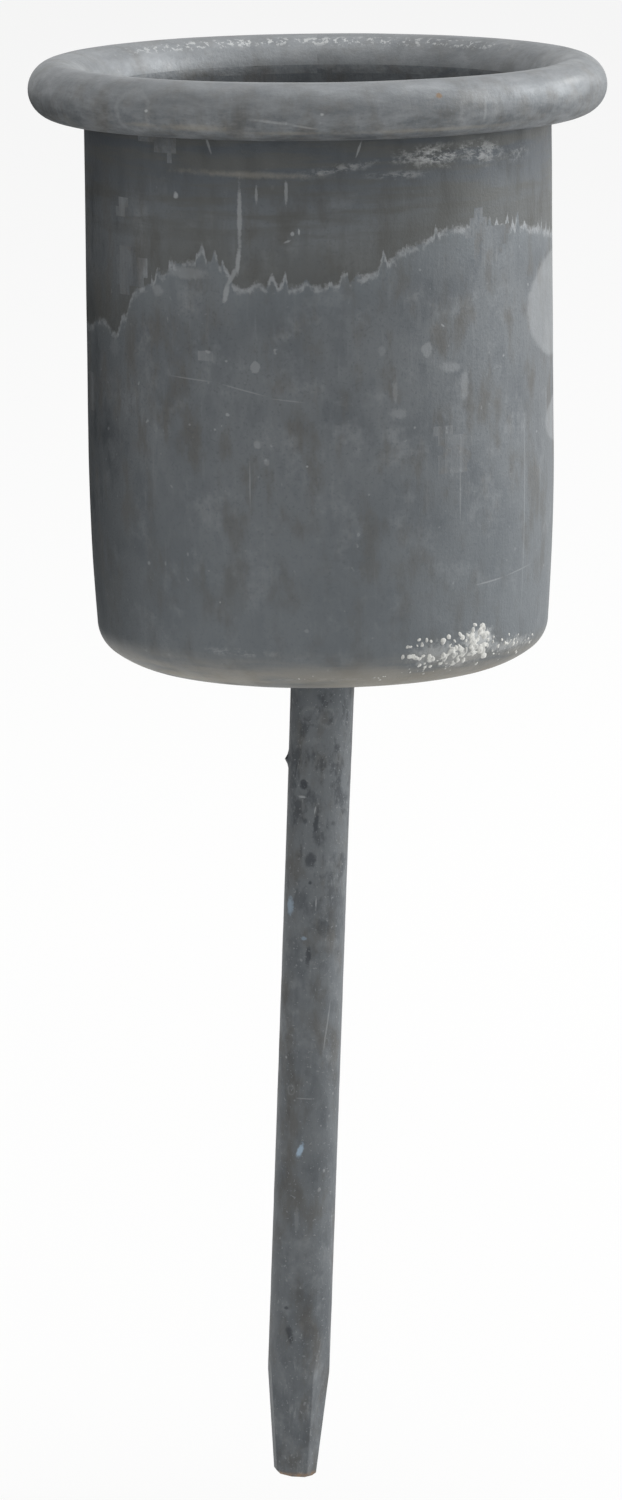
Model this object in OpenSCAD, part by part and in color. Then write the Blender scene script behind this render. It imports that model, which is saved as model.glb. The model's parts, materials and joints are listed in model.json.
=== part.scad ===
// Candle spike: a drawn sheet-metal cup with a rolled rim, carried on a blunt nail.
// Sizes are in millimetres. The origin is where the nail leaves the cup's underside, and +Z is the cup's axis.

/* [Cup] */
// Bore of the candle socket, inside the straight wall
socket_d = 23.4; // [22.6:0.1:26]
// Thickness of the sheet
sheet_t = 0.5; // [0.4:0.05:0.7]
// Height from the underside to the crest of the rim
cup_h = 32; // [26:0.1:40]
// How far the wall draws in, by the time it reaches the bottom corner
draw_in = 0.35; // [0.2:0.05:0.6]
// Radius of the long curve that draws it in
draw_in_r = 125; // [90:1:200]
// Outer radius of the bottom corner, next to the wall
corner_r = 1.85; // [1.5:0.05:2.4]
// Larger outer radius that runs the corner out into the floor
blend_r = 5.3; // [4:0.1:7]

/* [Rolled rim] */
// Outer radius of the roll
roll_r = 1.5; // [1.3:0.05:1.7]
// Radius of the mouth, from the bore up to the crest
flare_r = 1.95; // [1.8:0.05:2.4]
// Gap between the roll's free edge and the wall
roll_gap = 0.3; // [0.2:0.05:0.5]

/* [Spike] */
// Diameter of the nail
nail_d = 3.3; // [2.8:0.1:4.2]
// Length of the nail below the cup, along its own axis
nail_l = 43.8; // [36:0.2:70]
// Lean of the nail from the cup's axis, as it was fixed
lean_a = 2.55; // [0:0.05:4]
// How much thicker the nail is where it leaves the cup
neck_swell = 0.1; // [0:0.02:0.2]
// Length over which the swelling dies away
neck_l = 8.5; // [4:0.5:12]
// Diameter of the nail's head
head_d = 7.4; // [6.4:0.1:8.6]
// Thickness of the head
head_t = 1.2; // [0.9:0.1:1.6]
// Bevel round the top of the head
head_bevel = 0.3; // [0.1:0.05:0.4]
// Radial clearance of the nail in the cup's hole
hole_clear = 0.1; // [0.06:0.01:0.2]

/* [Point] */
// Width of the eight-sided end, across its flats
point_w = 2.1; // [1.6:0.05:2.5]
// Slope of the four long flats
long_flat_a = 4.1; // [3:0.1:7]
// Slope of the four short flats between them
short_flat_a = 5.3; // [4:0.1:9]
// Turn of the flats about the nail's axis
point_turn = 56.5; // [0:0.5:90]
// Slant of the cut end
end_slant = 3.6; // [0:0.1:8]
// Bevel round the cut end
end_bevel = 0.12; // [0.05:0.01:0.25]

/* [Solder] */
// Width of the fillet on the cup's floor
solder_w = 1.4; // [0.9:0.1:1.9]
// Height of the fillet up the side of the head
solder_h = 0.7; // [0.4:0.05:0.8]
// Hollowness of the fillet: its radius over its chord
solder_hollow = 1.6; // [1:0.1:3]

/* [Hidden] */
$fn = 128;

zinc_grey = [0.36, 0.38, 0.40];
steel_grey = [0.33, 0.35, 0.37];
solder_grey = [0.47, 0.48, 0.49];

bore_r = socket_d / 2;
wall_r = bore_r + sheet_t;

// Heights at which the bends of the mouth and the roll have their centres
flare_z = cup_h - flare_r;
roll_z = cup_h - roll_r;
crest_r = bore_r + flare_r;
// How far the roll turns past its lowest point before its edge is roll_gap from the wall
roll_past_a = asin((crest_r - wall_r - roll_gap) / roll_r);

// The corner changes over to the larger radius where the sheet faces 3 out for 4 down
change_over = [0.6, -0.8];
blend_more = blend_r - corner_r;
corner_x = wall_r - draw_in - corner_r;
corner_z = blend_r + blend_more * change_over.y;
blend_x = corner_x - blend_more * change_over.x;
// The corner stands this much proud of the long curve, so that the two cross instead of only touching
corner_proud = 0.002;
curve_in = draw_in + corner_proud;
draw_in_z = corner_z + sqrt(curve_in * (2 * draw_in_r - curve_in));

nail_r = nail_d / 2;
neck_r = nail_r + neck_swell / 2;
hole_r = neck_r + hole_clear;
head_r = head_d / 2;
end_r = point_w / 2;

// Inside of the bowl's skin, as a half section. At inset 0 it is the outer skin, and at sheet_t the inner one
module bowl(inset) {
    translate([0, draw_in_z]) square([wall_r - inset, flare_z - draw_in_z]);
    intersection() {
        translate([wall_r - draw_in_r, draw_in_z]) circle(r = draw_in_r - inset);
        union() {
            translate([0, corner_z]) square([wall_r, draw_in_z - corner_z]);
            translate([corner_x, corner_z]) circle(r = corner_r - inset);
            blend(inset);
            translate([0, inset]) square([blend_x, corner_z - inset]);
        }
    }
}

// The larger radius, from straight down to the change-over
module blend(inset) {
    reach = 2 * blend_r;
    translate([blend_x, blend_r])
        intersection() {
            circle(r = blend_r - inset);
            polygon([[0, 0], [0, -reach], reach * change_over]);
        }
}

// The sheet bent round a centre, from angle a0 to angle a1: 0 faces out from the cup, -90 faces down
module bend(centre, r, a0, a1) {
    steps = ceil((a1 - a0) / 60);
    translate(centre)
        intersection() {
            difference() {
                circle(r = r);
                circle(r = r - sheet_t);
            }
            polygon(concat([[0, 0]], [for (i = [0:steps]) 2 * r * facing(a0 + (a1 - a0) * i / steps)]));
        }
}

function facing(a) = [cos(a), sin(a)];

// Half section of the cup, from the hole in the floor up the wall and round the rim
module cup_section() {
    difference() {
        bowl(0);
        bowl(sheet_t);
        translate([0, -sheet_t]) square([hole_r, 3 * sheet_t]);
    }
    bend([crest_r, flare_z], flare_r, 90, 180);
    bend([crest_r, roll_z], roll_r, -90 - roll_past_a, 90);
}

module cup() {
    color(zinc_grey) rotate_extrude() cup_section();
}

// Head of the nail, lying on the cup's floor
module nail_head() {
    translate([0, 0, sheet_t])
        rotate_extrude()
            polygon([
                [0, 0],
                [head_r, 0],
                [head_r, head_t - head_bevel],
                [head_r - head_bevel, head_t],
                [0, head_t],
            ]);
}

// Shank along -Z, from the middle of the head to just past the cut end
module shank() {
    top = sheet_t + head_t / 2;
    past_end = nail_l + nail_r;
    rotate_extrude()
        polygon([
            [0, top],
            [neck_r, top],
            [neck_r, sheet_t],
            [nail_r, -neck_l],
            [nail_r, -past_end],
            [0, -past_end],
        ]);
}

// What four of the point's flats take off: a block a side, whose inner face slopes by a from the nail's axis
module flat_cuts(turn, a) {
    run_out = (nail_r - end_r) / tan(a) + nail_d;
    for (side = [0:3])
        rotate([0, 0, turn + 90 * side])
            translate([end_r, 0, 0])
                rotate([0, a, 0])
                    translate([0, -nail_d, -nail_d])
                        cube([nail_d, 2 * nail_d, nail_d + run_out]);
}

// What the cut and the bevel round it take off the end
module end_cuts() {
    rotate([0, end_slant, 0]) {
        translate([-nail_d, -nail_d, -2 * nail_d]) cube([2 * nail_d, 2 * nail_d, 2 * nail_d]);
        rotate_extrude()
            polygon([
                [end_r - 2 * end_bevel, -end_bevel],
                [end_r + 3 * end_bevel, -end_bevel],
                [end_r + 3 * end_bevel, 4 * end_bevel],
            ]);
    }
}

module spike() {
    color(steel_grey) {
        nail_head();
        rotate([0, lean_a, 0])
            difference() {
                shank();
                translate([0, 0, -nail_l]) {
                    flat_cuts(point_turn, long_flat_a);
                    flat_cuts(point_turn + 45, short_flat_a);
                    end_cuts();
                }
            }
    }
}

// Fillet of solder in the angle between the head's side and the cup's floor, with a hollow face
module solder_fillet() {
    chord = norm([solder_w, solder_h]);
    r = solder_hollow * chord;
    outward = [solder_h, solder_w] / chord;
    centre = [solder_w, solder_h] / 2 + sqrt(r * r - chord * chord / 4) * outward;
    color(solder_grey)
        translate([0, 0, sheet_t])
            rotate_extrude()
                translate([head_r, 0])
                    difference() {
                        polygon([[0, 0], [solder_w, 0], [0, solder_h]]);
                        translate(centre) circle(r = r);
                    }
}

cup();
spike();
solder_fillet();
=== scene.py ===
"""Candle spike: a drawn zinc cup with a rolled rim, carried on a leaning nail with a blunt, faceted point.

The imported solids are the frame. Each piece is modelled here at their place and size, in metres, and dressed in
aged zinc, solder or white oxide. Marks on a surface are placed in degrees round its axis, with 0 at the front,
and in millimetres along it.
"""

from __future__ import annotations

import json
import logging
import math
import random
from contextlib import contextmanager
from dataclasses import dataclass, field
from enum import Enum
from typing import Any, Callable, Iterator, Sequence, Union

import bpy
from mathutils import Matrix, Vector


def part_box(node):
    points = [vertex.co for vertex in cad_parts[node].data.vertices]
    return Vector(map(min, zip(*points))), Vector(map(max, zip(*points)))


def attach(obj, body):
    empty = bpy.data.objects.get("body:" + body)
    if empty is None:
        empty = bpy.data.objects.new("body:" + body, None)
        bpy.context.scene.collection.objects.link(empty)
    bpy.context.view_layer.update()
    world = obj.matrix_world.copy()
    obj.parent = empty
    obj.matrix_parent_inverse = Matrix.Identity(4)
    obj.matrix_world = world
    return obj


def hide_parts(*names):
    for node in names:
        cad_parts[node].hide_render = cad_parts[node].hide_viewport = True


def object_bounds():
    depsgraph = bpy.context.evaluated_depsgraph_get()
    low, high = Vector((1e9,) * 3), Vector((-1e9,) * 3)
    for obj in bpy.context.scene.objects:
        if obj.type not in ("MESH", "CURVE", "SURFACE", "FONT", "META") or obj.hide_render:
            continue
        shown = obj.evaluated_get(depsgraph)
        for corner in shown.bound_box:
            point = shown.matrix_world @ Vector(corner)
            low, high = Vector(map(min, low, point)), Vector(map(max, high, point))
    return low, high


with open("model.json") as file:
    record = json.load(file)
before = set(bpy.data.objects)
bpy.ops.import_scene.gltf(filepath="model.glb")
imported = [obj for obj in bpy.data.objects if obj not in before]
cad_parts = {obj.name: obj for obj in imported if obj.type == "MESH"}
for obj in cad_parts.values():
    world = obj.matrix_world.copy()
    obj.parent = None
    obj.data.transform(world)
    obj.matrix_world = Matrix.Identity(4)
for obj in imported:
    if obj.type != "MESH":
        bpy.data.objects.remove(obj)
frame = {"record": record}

CAD_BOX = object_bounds()
MM = 0.001
BODY = "root"

Socket = bpy.types.NodeSocket
Value = Union[float, Sequence[float], Socket]
Colour = tuple[int, int, int]
Point = tuple[float, float]

log = logging.getLogger("candle_spike")


class Slot(Enum):
    """The record's finishes that a piece may take."""

    SHEET = "zinc_sheet"
    NAIL = "zinc_nail"
    SOLDER = "solder"


class Skin(Enum):
    """The parts of the cup's surface, which have their own marks."""

    WALL = "wall"
    RIM = "rim"
    INSIDE = "inside"


class Shape(Enum):
    """How a mark fills its outline."""

    FULL = "full"
    RING = "ring"


def linear(colour: Colour) -> tuple[float, float, float, float]:
    """Turn an 8-bit screen colour into the linear colour that a shader takes.

    Args:
        colour: Red, green and blue from 0 to 255.

    Returns:
        The linear colour, opaque.
    """
    knee, slope, offset, gamma = 0.04045, 12.92, 0.055, 2.4
    parts = [c / 255 for c in colour]
    red, green, blue = [p / slope if p <= knee else ((p + offset) / (1 + offset)) ** gamma for p in parts]
    return (red, green, blue, 1.0)


def arc(centre: Point, radius: float, start: float, end: float, steps: int) -> list[Point]:
    """Points along an arc, both ends included.

    Args:
        centre: Its centre, as distance from the axis and height.
        radius: Its radius.
        start: Angle of its first point in degrees, where 0 faces out and 90 faces up.
        end: Angle of its last point in degrees.
        steps: How many equal steps it takes.

    Returns:
        The points, as distance from the axis and height.
    """
    angles = [math.radians(start + (end - start) * i / steps) for i in range(steps + 1)]
    return [(centre[0] + radius * math.cos(a), centre[1] + radius * math.sin(a)) for a in angles]


def line(start: Point, end: Point, steps: int) -> list[Point]:
    """Points along a straight line, both ends included.

    Args:
        start: Its first point.
        end: Its last point.
        steps: How many equal steps it takes.

    Returns:
        The points.
    """
    shares = [i / steps for i in range(steps + 1)]
    return [(start[0] + (end[0] - start[0]) * s, start[1] + (end[1] - start[1]) * s) for s in shares]


class Bench:
    """The modelling moves that the pieces share, each made with Blender's own operators."""

    @staticmethod
    def clear() -> None:
        """Deselect every object and leave none active."""
        bpy.ops.object.select_all(action="DESELECT")
        bpy.context.view_layer.objects.active = None

    @staticmethod
    def hold(piece: bpy.types.Object) -> None:
        """Select one object alone and make it active."""
        Bench.clear()
        piece.select_set(True)
        bpy.context.view_layer.objects.active = piece

    @staticmethod
    @contextmanager
    def editing(piece: bpy.types.Object, mode: str = "VERT") -> Iterator[None]:
        """Open a piece in edit mode with nothing selected, and close it again.

        Args:
            piece: The object to edit.
            mode: What is selected: VERT, EDGE or FACE.
        """
        Bench.hold(piece)
        bpy.ops.object.mode_set(mode="EDIT")
        bpy.ops.mesh.select_mode(type=mode)
        bpy.ops.mesh.select_all(action="DESELECT")
        yield
        bpy.ops.object.mode_set(mode="OBJECT")

    @staticmethod
    def pick(piece: bpy.types.Object, kind: str, test: Callable[[Any], bool]) -> int:
        """Select what passes a test, in object mode, and deselect the rest.

        Args:
            piece: The object whose mesh is looked through.
            kind: Which of the mesh's lists: vertices, edges or polygons.
            test: Takes one of them and says whether it is selected.

        Returns:
            How many are selected.
        """
        Bench.hold(piece)
        for part in (piece.data.vertices, piece.data.edges, piece.data.polygons):
            part.foreach_set("select", [False] * len(part))
        chosen = [part for part in getattr(piece.data, kind) if test(part)]
        for part in chosen:
            part.select = True
        return len(chosen)

    @staticmethod
    def spin(name: str, outline: Sequence[Point], steps: int) -> bpy.types.Object:
        """Draw an outline from a single vertex and spin it once round the Z axis.

        Args:
            name: The new object's name.
            outline: Points as distance from the axis and height.
            steps: How many steps the full turn takes.

        Returns:
            The spun shell, with its seam closed.
        """
        Bench.clear()
        first = Vector((outline[0][0], 0, outline[0][1]))
        bpy.ops.mesh.primitive_plane_add(size=MM, location=first)
        piece = bpy.context.active_object
        piece.name = piece.data.name = name
        Bench.place(piece)
        with Bench.editing(piece):
            bpy.ops.mesh.select_all(action="SELECT")
            bpy.ops.mesh.merge(type="CENTER")
            for here, there in zip(outline, outline[1:]):
                move = (there[0] - here[0], 0, there[1] - here[1])
                bpy.ops.mesh.extrude_vertices_move(TRANSFORM_OT_translate={"value": move})
            bpy.ops.mesh.select_all(action="SELECT")
            bpy.ops.mesh.spin(steps=steps, angle=2 * math.pi, center=(0, 0, 0), axis=(0, 0, 1))
            bpy.ops.mesh.select_all(action="SELECT")
            bpy.ops.mesh.remove_doubles(threshold=0.001 * MM)
            bpy.ops.mesh.normals_make_consistent(inside=False)
        return piece

    @staticmethod
    def place(piece: bpy.types.Object) -> None:
        """Put an object's place, turn and size into its mesh."""
        Bench.hold(piece)
        bpy.ops.object.transform_apply(location=True, rotation=True, scale=True)

    @staticmethod
    def finish_with(piece: bpy.types.Object, kind: str, **settings: Any) -> None:
        """Add a modifier and apply it.

        Args:
            piece: The object that gets it.
            kind: The modifier's type.
            **settings: Its settings by name.
        """
        Bench.hold(piece)
        modifier = piece.modifiers.new(kind.lower(), kind)
        for name, value in settings.items():
            setattr(modifier, name, value)
        bpy.ops.object.modifier_apply(modifier=modifier.name)

    @staticmethod
    def ripple(piece: bpy.types.Object, size: float, depth: float) -> None:
        """Press soft cloudy hollows into a surface, never proud of it.

        Args:
            piece: The object that gets them.
            size: How wide the hollows are.
            depth: How deep the deepest may be.
        """
        clouds = bpy.data.textures.new(f"{piece.name}_ripple", "CLOUDS")
        clouds.noise_scale = size
        clouds.noise_depth = 2
        Bench.finish_with(piece, "DISPLACE", texture=clouds, strength=depth, mid_level=1.0)

    @staticmethod
    def push(piece: bpy.types.Object, place: Vector, move: Vector, reach: float) -> None:
        """Drag the surface at one place, with a soft reach round it.

        Args:
            piece: The object that is pushed.
            place: Where, in the row frame.
            move: How far and which way.
            reach: How far from the place the surface still follows.
        """
        nearest = min(piece.data.vertices, key=lambda v: (v.co - place).length_squared).index
        Bench.pick(piece, "vertices", lambda v: v.index == nearest)
        bpy.ops.object.mode_set(mode="EDIT")
        bpy.ops.mesh.select_mode(type="VERT")
        bpy.ops.transform.translate(
            value=move,
            use_proportional_edit=True,
            proportional_edit_falloff="SMOOTH",
            proportional_size=reach,
            use_proportional_connected=True,
        )
        bpy.ops.object.mode_set(mode="OBJECT")

    @staticmethod
    def smooth(piece: bpy.types.Object, angle: float) -> None:
        """Shade smooth, apart from edges sharper than an angle in degrees."""
        Bench.hold(piece)
        bpy.ops.object.shade_smooth_by_angle(angle=math.radians(angle))


class Graph:
    """One material's node tree, with a short method for each kind of node that the finishes use."""

    def __init__(self, name: str) -> None:
        """Start an empty material.

        Args:
            name: The material's name.
        """
        self.material = bpy.data.materials.new(name)
        self.material.use_nodes = True
        self.tree = self.material.node_tree
        self.tree.nodes.clear()

    def add(self, kind: str, inputs: dict[Any, Value] | None = None, **settings: Any) -> bpy.types.Node:
        """Add a node.

        Args:
            kind: Its type, without the leading ShaderNode.
            inputs: Values or links for its sockets, by name or index.
            **settings: Its own settings by name.

        Returns:
            The node.
        """
        node = self.tree.nodes.new(f"ShaderNode{kind}")
        for name, value in settings.items():
            setattr(node, name, value)
        for key, value in (inputs or {}).items():
            if isinstance(value, bpy.types.NodeSocket):
                self.tree.links.new(value, node.inputs[key])
            else:
                node.inputs[key].default_value = value
        return node

    def math(self, operation: str, *terms: Value) -> Socket:
        """Combine one, two or three numbers with a maths operation."""
        return self.add("Math", dict(enumerate(terms)), operation=operation).outputs[0]

    def total(self, terms: Sequence[Socket]) -> Socket:
        """Add up several numbers."""
        result = terms[0]
        for term in terms[1:]:
            result = self.math("ADD", result, term)
        return result

    def most(self, terms: Sequence[Socket]) -> Socket:
        """Take the largest of several numbers."""
        result = terms[0]
        for term in terms[1:]:
            result = self.math("MAXIMUM", result, term)
        return result

    def fade(self, value: Value, none: float, full: float, top: float = 1.0) -> Socket:
        """Rise smoothly from 0 to a top value as a number goes from one limit to the other.

        Args:
            value: The number.
            none: Where the result is 0.
            full: Where the result is at its top, above or below the other limit.
            top: The top value.

        Returns:
            The result.
        """
        rising = none < full
        sockets = {0: value, 1: min(none, full), 2: max(none, full), 3: 0.0 if rising else top, 4: top if rising else 0.0}
        return self.add("MapRange", sockets, interpolation_type="SMOOTHSTEP").outputs[0]

    def mix(self, under: Value, over: Value, share: Value, how: str = "MIX") -> Socket:
        """Lay one colour over another.

        Args:
            under: The colour beneath.
            over: The colour on top.
            share: How much of the top one shows.
            how: The blending mode.

        Returns:
            The mixed colour.
        """
        node = self.add("Mix", {0: share, 6: under, 7: over}, data_type="RGBA", blend_type=how)
        return node.outputs[2]

    def noise(self, where: Socket, size: float, detail: float = 3.0, rough: float = 0.55) -> Socket:
        """Cloudy noise from 0 to 1.

        Args:
            where: The place, in millimetres.
            size: How wide its main clouds are, in millimetres.
            detail: How many finer layers it has.
            rough: How strong they are.

        Returns:
            The noise.
        """
        sockets = {"Vector": where, "Scale": 1 / size, "Detail": detail, "Roughness": rough}
        return self.add("TexNoise", sockets).outputs[0]

    def stretched(self, where: Socket, scale: Sequence[float]) -> Socket:
        """Scale a place along each axis, so that noise read there is drawn out."""
        return self.add("VectorMath", {0: where, 1: tuple(scale)}, operation="MULTIPLY").outputs[0]

    def millimetres(self) -> Socket:
        """The place on the piece, in millimetres."""
        coordinates = self.add("TexCoord").outputs["Object"]
        return self.add("VectorMath", {0: coordinates, "Scale": 1 / MM}, operation="SCALE").outputs[0]

    def unrolled(self, where: Socket, radius: float) -> tuple[Socket, Socket, Socket]:
        """Unroll a round surface.

        Args:
            where: The place, in millimetres, with the axis along Z.
            radius: The radius at which distances round it are measured, in millimetres.

        Returns:
            The distance round from the front in millimetres, the same in radians, and the height.
        """
        x, y, z = self.add("SeparateXYZ", {0: where}).outputs
        turn = self.math("ARCTAN2", x, self.math("MULTIPLY", y, -1.0))
        return self.math("MULTIPLY", turn, radius), turn, z

    def curve(self, value: Socket, points: Sequence[Point]) -> Socket:
        """Follow a smooth curve through points whose two coordinates run from 0 to 1."""
        node = self.add("FloatCurve", {"Value": value})
        track = node.mapping.curves[0]
        while len(track.points) < len(points):
            track.points.new(0.5, 0.5)
        for knot, place in zip(track.points, sorted(points)):
            knot.location = place
        node.mapping.update()
        return node.outputs[0]

    def shade(self, sockets: dict[str, Value], height: Value, relief: float) -> bpy.types.Material:
        """Finish the material with its shader.

        Args:
            sockets: Values or links for the shader's sockets.
            height: The surface's relief from 0 to 1.
            relief: How tall that relief is, in metres.

        Returns:
            The material.
        """
        bump = self.add("Bump", {"Height": height, "Distance": relief, "Strength": 1.0})
        shader = self.add("BsdfPrincipled", {**sockets, "Normal": bump.outputs[0]})
        self.add("OutputMaterial", {"Surface": shader.outputs[0]})
        return self.material


@dataclass(frozen=True)
class Mark:
    """One small mark on an unrolled surface.

    Attributes:
        turn: Its middle, in degrees round from the front.
        along: Its middle, in millimetres along the surface.
        wide: Its half width, in millimetres.
        tall: Its half height, in millimetres.
        tilt: How far it is turned from level, in degrees.
        strength: How much it shows.
        ragged: How far its edge wanders, as a share of its size.
        soft: How much of it is soft edge, from 0 to 1.
        shape: Whether it is full or only a ring.
    """

    turn: float
    along: float
    wide: float
    tall: float
    tilt: float = 0.0
    strength: float = 1.0
    ragged: float = 1.3
    soft: float = 0.6
    shape: Shape = Shape.FULL

    def draw(self, graph: Graph, surface: Socket, wander: Socket, radius: float) -> Socket:
        """Add the nodes for the mark.

        Args:
            graph: The material.
            surface: The unrolled place, in millimetres.
            wander: Noise about 0 that makes its edge ragged.
            radius: The radius at which the surface is unrolled, in millimetres.

        Returns:
            How much the mark covers each place, from 0 to its strength.
        """
        place = {
            "Vector": surface,
            "Location": (math.radians(self.turn) * radius, self.along, 0),
            "Rotation": (0, 0, math.radians(self.tilt)),
            "Scale": (self.wide, self.tall, 1),
        }
        local = graph.add("Mapping", place, vector_type="TEXTURE").outputs[0]
        reach = graph.add("VectorMath", {0: local}, operation="LENGTH").outputs["Value"]
        reach = graph.math("MULTIPLY_ADD", wander, self.ragged, reach)
        if self.shape is Shape.RING:
            reach = graph.math("ABSOLUTE", graph.math("SUBTRACT", reach, 1.0))
            return graph.fade(reach, self.soft, 0.0, self.strength)
        return graph.fade(reach, 1.0, 1.0 - self.soft, self.strength)


def cover(graph: Graph, marks: Sequence[Mark], surface: Socket, wander: Socket, radius: float) -> Socket:
    """Draw several marks as one layer.

    Args:
        graph: The material.
        marks: The marks.
        surface: The unrolled place, in millimetres.
        wander: Noise about 0 that makes their edges ragged.
        radius: The radius at which the surface is unrolled, in millimetres.

    Returns:
        How much the layer covers each place.
    """
    return graph.most([mark.draw(graph, surface, wander, radius) for mark in marks])


@dataclass(frozen=True)
class ZincFinish:
    """A dull zinc coat, gone grey with age: cloudy, finely drawn, freckled and a little worn.

    Attributes:
        grey: Its main colour.
        deep: Its colour where the coat is darkest, also used for painted shade.
        warm: Its colour where dirt has browned it.
        pale: Its colour where it has bloomed, also used for painted highlight and painted reflection.
        metal: How metallic it looks.
        sheen_low: Its least roughness.
        sheen_high: Its most roughness.
    """

    grey: Colour = (106, 110, 113)
    deep: Colour = (74, 79, 84)
    warm: Colour = (95, 93, 89)
    pale: Colour = (150, 153, 155)
    metal: float = 0.55
    sheen_low: float = 0.5
    sheen_high: float = 0.7

    def coat(self, graph: Graph, where: Socket) -> tuple[Socket, Socket, Socket]:
        """The coat that every zinc surface starts from.

        Args:
            graph: The material.
            where: The place, in millimetres.

        Returns:
            Its colour, its roughness and its relief from 0 to 1.
        """
        clouds = graph.noise(where, 5.0, 3.0, 0.55)
        blooms = graph.noise(graph.stretched(where, (1, 1, 0.45)), 1.5, 4.0, 0.6)
        drawn = graph.noise(graph.stretched(where, (1, 1, 0.12)), 0.35, 2.0, 0.6)
        grain = graph.noise(where, 0.16, 3.0, 0.65)
        patches = graph.noise(where, 2.4, 4.0, 0.7)
        colour = graph.mix(linear(self.grey), linear(self.deep), graph.fade(clouds, 0.45, 0.7, 0.45))
        colour = graph.mix(colour, linear(self.pale), graph.fade(patches, 0.5, 0.72, 0.3))
        colour = graph.mix(colour, linear(self.warm), graph.fade(blooms, 0.48, 0.68, 0.6))
        colour = graph.mix(colour, linear(self.deep), graph.fade(blooms, 0.48, 0.3, 0.4))
        colour = graph.mix(colour, linear(self.pale), graph.fade(drawn, 0.56, 0.9, 0.2))
        colour = graph.mix(colour, linear(self.deep), graph.fade(grain, 0.52, 0.72, 0.4))
        freckles = graph.fade(graph.noise(where, 0.42, 1.0, 0.4), 0.74, 0.82, 0.5)
        colour = graph.mix(colour, linear(self.pale), freckles)
        rough = graph.add("MapRange", {0: blooms, 1: 0.3, 2: 0.7, 3: self.sheen_low, 4: self.sheen_high}).outputs[0]
        relief = graph.math("MULTIPLY_ADD", grain, 0.6, graph.math("MULTIPLY", drawn, 0.4))
        return colour, rough, relief


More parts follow.
